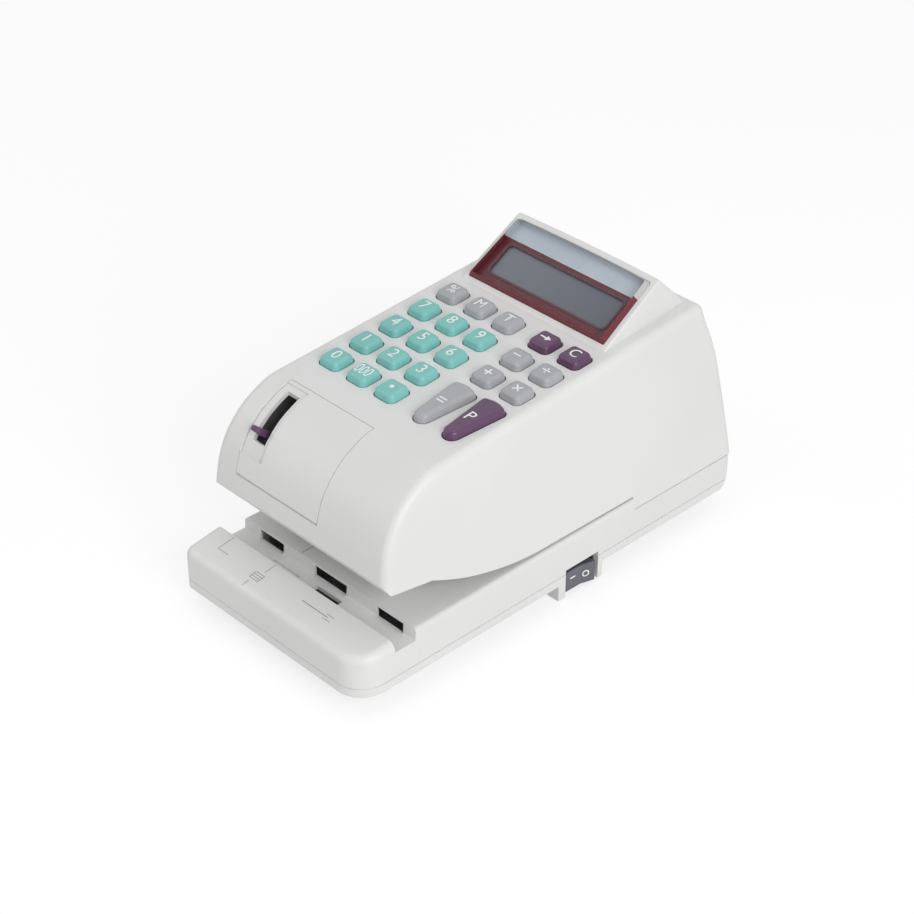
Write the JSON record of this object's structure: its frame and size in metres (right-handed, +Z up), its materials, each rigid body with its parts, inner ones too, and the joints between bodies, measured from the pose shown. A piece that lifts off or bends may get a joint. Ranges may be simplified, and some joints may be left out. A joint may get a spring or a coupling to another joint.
{
  "type": "check writer",
  "caption": "Desktop electronic check writer: sloped keypad, tilted display, hinged ink cover with lever, side paper throat and print unit on a low base.",
  "frame": {"origin": "centre of the footprint, at the underside of the rubber feet", "axes": "+X right of the machine seen from its front, +Y from the table at the front to the back, +Z up"},
  "size_m": [0.1249, 0.2374, 0.129],
  "materials": {
    "case_plastic": "off-white moulded plastic with a fine grain",
    "pan_plastic": "light moulded plastic",
    "key_teal": "satin teal key",
    "key_grey": "satin grey key",
    "key_purple": "satin purple plastic",
    "window_clear": "clear acrylic",
    "frame_red": "dark red printed frame",
    "lcd_glass": "grey liquid crystal cell",
    "board_green": "circuit board laminate",
    "switch_black": "black nylon",
    "switch_grey": "dark grey rocker",
    "sheet_steel": "zinc plated sheet",
    "motor_steel": "drawn steel can",
    "core_steel": "lacquered laminations with a taped winding",
    "coil_wrap": "taped coil",
    "screw_steel": "turned steel",
    "gear_white": "acetal",
    "belt_rubber": "neoprene belt",
    "roller_rubber": "rubber tyre on an acetal core",
    "type_plastic": "print wheel with raised type pads",
    "brass_gear": "machined brass",
    "felt": "inked felt",
    "foot_rubber": "rubber foot"
  },
  "bodies": {
    "housing": {"base_shell": "case_plastic", "bottom_pan": "pan_plastic", "rubber_feet": "foot_rubber", "upper_case": "case_plastic", "throat_plate": "case_plastic", "display_window": "window_clear", "display_frame": "frame_red", "lcd_panel": "lcd_glass", "lcd_board": "board_green", "keypad_board": "board_green", "switch_body": "switch_black", "feed_frame": "sheet_steel", "feed_motor": "motor_steel", "feed_belt": "belt_rubber", "print_frame": "sheet_steel", "print_motor": "motor_steel", "solenoid_coil": "coil_wrap", "main_board": "board_green", "transformer": "core_steel", "power_inlet": "switch_black", "case_screws": "screw_steel"},
    "key_0_body": {"key_0": "key_teal"},
    "key_000_body": {"key_000": "key_teal"},
    "key_point_body": {"key_point": "key_teal"},
    "key_1_body": {"key_1": "key_teal"},
    "key_2_body": {"key_2": "key_teal"},
    "key_3_body": {"key_3": "key_teal"},
    "key_4_body": {"key_4": "key_teal"},
    "key_5_body": {"key_5": "key_teal"},
    "key_6_body": {"key_6": "key_teal"},
    "key_plus_body": {"key_plus": "key_grey"},
    "key_times_body": {"key_times": "key_grey"},
    "key_7_body": {"key_7": "key_teal"},
    "key_8_body": {"key_8": "key_teal"},
    "key_9_body": {"key_9": "key_teal"},
    "key_minus_body": {"key_minus": "key_grey"},
    "key_divide_body": {"key_divide": "key_grey"},
    "key_percent_body": {"key_percent": "key_grey"},
    "key_memory_body": {"key_memory": "key_grey"},
    "key_total_body": {"key_total": "key_grey"},
    "key_arrow_body": {"key_arrow": "key_purple"},
    "key_clear_body": {"key_clear": "key_purple"},
    "key_equals_body": {"key_equals": "key_grey"},
    "key_print_body": {"key_print": "key_purple"},
    "cover": {"ink_cover": "case_plastic"},
    "lever": {"ink_lever": "key_purple"},
    "feed_left": {"feed_roller_left": "roller_rubber"},
    "feed_middle": {"feed_roller_middle": "roller_rubber"},
    "feed_right": {"feed_roller_right": "roller_rubber"},
    "feed_drive": {"feed_pulley": "gear_white"},
    "pinch_left": {"pinch_roller_left": "gear_white"},
    "pinch_middle": {"pinch_roller_middle": "gear_white"},
    "pinch_right": {"pinch_roller_right": "gear_white"},
    "print_rotor": {"print_wheel": "type_plastic", "print_shaft": "screw_steel"},
    "print_drive": {"print_pinion": "brass_gear"},
    "ink_feed": {"ink_roller": "felt"},
    "platen_body": {"platen": "screw_steel"},
    "rocker": {"switch_rocker": "switch_grey"}
  },
  "joints": [
    {"name": "key_0_press", "type": "slide", "parent": "housing", "child": "key_0_body", "axis": [0, -0.0663, 0.9978], "range_m": [-0.0025, 0], "stiffness_N_per_m": 200, "springref_m": 0.001},
    {"name": "key_000_press", "type": "slide", "parent": "housing", "child": "key_000_body", "axis": [0, -0.0663, 0.9978], "range_m": [-0.0025, 0], "stiffness_N_per_m": 200, "springref_m": 0.001},
    {"name": "key_point_press", "type": "slide", "parent": "housing", "child": "key_point_body", "axis": [0, -0.0663, 0.9978], "range_m": [-0.0025, 0], "stiffness_N_per_m": 200, "springref_m": 0.001},
    {"name": "key_1_press", "type": "slide", "parent": "housing", "child": "key_1_body", "axis": [0, -0.0663, 0.9978], "range_m": [-0.0025, 0], "stiffness_N_per_m": 200, "springref_m": 0.001},
    {"name": "key_2_press", "type": "slide", "parent": "housing", "child": "key_2_body", "axis": [0, -0.0663, 0.9978], "range_m": [-0.0025, 0], "stiffness_N_per_m": 200, "springref_m": 0.001},
    {"name": "key_3_press", "type": "slide", "parent": "housing", "child": "key_3_body", "axis": [0, -0.0663, 0.9978], "range_m": [-0.0025, 0], "stiffness_N_per_m": 200, "springref_m": 0.001},
    {"name": "key_4_press", "type": "slide", "parent": "housing", "child": "key_4_body", "axis": [0, -0.0663, 0.9978], "range_m": [-0.0025, 0], "stiffness_N_per_m": 200, "springref_m": 0.001},
    {"name": "key_5_press", "type": "slide", "parent": "housing", "child": "key_5_body", "axis": [0, -0.0663, 0.9978], "range_m": [-0.0025, 0], "stiffness_N_per_m": 200, "springref_m": 0.001},
    {"name": "key_6_press", "type": "slide", "parent": "housing", "child": "key_6_body", "axis": [0, -0.0663, 0.9978], "range_m": [-0.0025, 0], "stiffness_N_per_m": 200, "springref_m": 0.001},
    {"name": "key_plus_press", "type": "slide", "parent": "housing", "child": "key_plus_body", "axis": [0, -0.0663, 0.9978], "range_m": [-0.0025, 0], "stiffness_N_per_m": 200, "springref_m": 0.001},
    {"name": "key_times_press", "type": "slide", "parent": "housing", "child": "key_times_body", "axis": [0, -0.0663, 0.9978], "range_m": [-0.0025, 0], "stiffness_N_per_m": 200, "springref_m": 0.001},
    {"name": "key_7_press", "type": "slide", "parent": "housing", "child": "key_7_body", "axis": [0, -0.0663, 0.9978], "range_m": [-0.0025, 0], "stiffness_N_per_m": 200, "springref_m": 0.001},
    {"name": "key_8_press", "type": "slide", "parent": "housing", "child": "key_8_body", "axis": [0, -0.0663, 0.9978], "range_m": [-0.0025, 0], "stiffness_N_per_m": 200, "springref_m": 0.001},
    {"name": "key_9_press", "type": "slide", "parent": "housing", "child": "key_9_body", "axis": [0, -0.0663, 0.9978], "range_m": [-0.0025, 0], "stiffness_N_per_m": 200, "springref_m": 0.001},
    {"name": "key_minus_press", "type": "slide", "parent": "housing", "child": "key_minus_body", "axis": [0, -0.0663, 0.9978], "range_m": [-0.0025, 0], "stiffness_N_per_m": 200, "springref_m": 0.001},
    {"name": "key_divide_press", "type": "slide", "parent": "housing", "child": "key_divide_body", "axis": [0, -0.0663, 0.9978], "range_m": [-0.0025, 0], "stiffness_N_per_m": 200, "springref_m": 0.001},
    {"name": "key_percent_press", "type": "slide", "parent": "housing", "child": "key_percent_body", "axis": [0, -0.0663, 0.9978], "range_m": [-0.0025, 0], "stiffness_N_per_m": 200, "springref_m": 0.001},
    {"name": "key_memory_press", "type": "slide", "parent": "housing", "child": "key_memory_body", "axis": [0, -0.0663, 0.9978], "range_m": [-0.0025, 0], "stiffness_N_per_m": 200, "springref_m": 0.001},
    {"name": "key_total_press", "type": "slide", "parent": "housing", "child": "key_total_body", "axis": [0, -0.0663, 0.9978], "range_m": [-0.0025, 0], "stiffness_N_per_m": 200, "springref_m": 0.001},
    {"name": "key_arrow_press", "type": "slide", "parent": "housing", "child": "key_arrow_body", "axis": [0, -0.0663, 0.9978], "range_m": [-0.0025, 0], "stiffness_N_per_m": 200, "springref_m": 0.001},
    {"name": "key_clear_press", "type": "slide", "parent": "housing", "child": "key_clear_body", "axis": [0, -0.0663, 0.9978], "range_m": [-0.0025, 0], "stiffness_N_per_m": 200, "springref_m": 0.001},
    {"name": "key_equals_press", "type": "slide", "parent": "housing", "child": "key_equals_body", "axis": [0, -0.0663, 0.9978], "range_m": [-0.0025, 0], "stiffness_N_per_m": 200, "springref_m": 0.001},
    {"name": "key_print_press", "type": "slide", "parent": "housing", "child": "key_print_body", "axis": [0, -0.0663, 0.9978], "range_m": [-0.0025, 0], "stiffness_N_per_m": 200, "springref_m": 0.001},
    {"name": "ink_cover_open", "type": "hinge", "parent": "housing", "child": "cover", "pos_m": [-0.01445, -0.0963, 0.067], "axis": [1, 0, 0], "range_deg": [0, 75]},
    {"name": "ink_lever_swing", "type": "hinge", "parent": "cover", "child": "lever", "pos_m": [-0.0335, -0.06475, 0.067], "axis": [1, 0, 0], "range_deg": [-37, 0]},
    {"name": "feed_left_spin", "type": "hinge", "parent": "housing", "child": "feed_left", "pos_m": [-0.032, -0.06755, 0.0245], "axis": [0, 1, 0], "continuous": true},
    {"name": "feed_middle_spin", "type": "hinge", "parent": "housing", "child": "feed_middle", "pos_m": [0, -0.06755, 0.0245], "axis": [0, 1, 0], "continuous": true},
    {"name": "feed_right_spin", "type": "hinge", "parent": "housing", "child": "feed_right", "pos_m": [0.032, -0.06755, 0.0245], "axis": [0, 1, 0], "continuous": true},
    {"name": "feed_drive_spin", "type": "hinge", "parent": "housing", "child": "feed_drive", "pos_m": [0.016, -0.05875, 0.0169], "axis": [0, 1, 0], "continuous": true},
    {"name": "pinch_left_spin", "type": "hinge", "parent": "housing", "child": "pinch_left", "pos_m": [-0.032, -0.06755, 0.0378], "axis": [0, 1, 0], "continuous": true},
    {"name": "pinch_middle_spin", "type": "hinge", "parent": "housing", "child": "pinch_middle", "pos_m": [0, -0.06755, 0.0378], "axis": [0, 1, 0], "continuous": true},
    {"name": "pinch_right_spin", "type": "hinge", "parent": "housing", "child": "pinch_right", "pos_m": [0.032, -0.06755, 0.0378], "axis": [0, 1, 0], "continuous": true},
    {"name": "print_wheel_spin", "type": "hinge", "parent": "housing", "child": "print_rotor", "pos_m": [-0.0125, -0.03875, 0.0462], "axis": [1, 0, 0], "continuous": true},
    {"name": "print_drive_spin", "type": "hinge", "parent": "housing", "child": "print_drive", "pos_m": [-0.002, -0.02743, 0.05751], "axis": [1, 0, 0], "continuous": true},
    {"name": "ink_roller_spin", "type": "hinge", "parent": "housing", "child": "ink_feed", "pos_m": [-0.0125, -0.0549, 0.05552], "axis": [1, 0, 0], "continuous": true},
    {"name": "platen_lift", "type": "slide", "parent": "housing", "child": "platen_body", "axis": [0, 0, 1], "range_m": [0, 0.001]},
    {"name": "switch_rocker_tilt", "type": "hinge", "parent": "housing", "child": "rocker", "pos_m": [0.0572, 0.01575, 0.0073], "axis": [0, 0, 1], "range_deg": [0, 16]}
  ],
  "couplings": [
    {"joint": "feed_left_spin", "follows": "feed_middle_spin", "ratio": 1},
    {"joint": "feed_right_spin", "follows": "feed_middle_spin", "ratio": 1},
    {"joint": "feed_drive_spin", "follows": "feed_middle_spin", "ratio": 1.5},
    {"joint": "pinch_left_spin", "follows": "feed_middle_spin", "ratio": -1.8889},
    {"joint": "pinch_middle_spin", "follows": "feed_middle_spin", "ratio": -1.8889},
    {"joint": "pinch_right_spin", "follows": "feed_middle_spin", "ratio": -1.8889},
    {"joint": "print_drive_spin", "follows": "print_wheel_spin", "ratio": -2.3333},
    {"joint": "ink_roller_spin", "follows": "print_wheel_spin", "ratio": -2.0833}
  ]
}
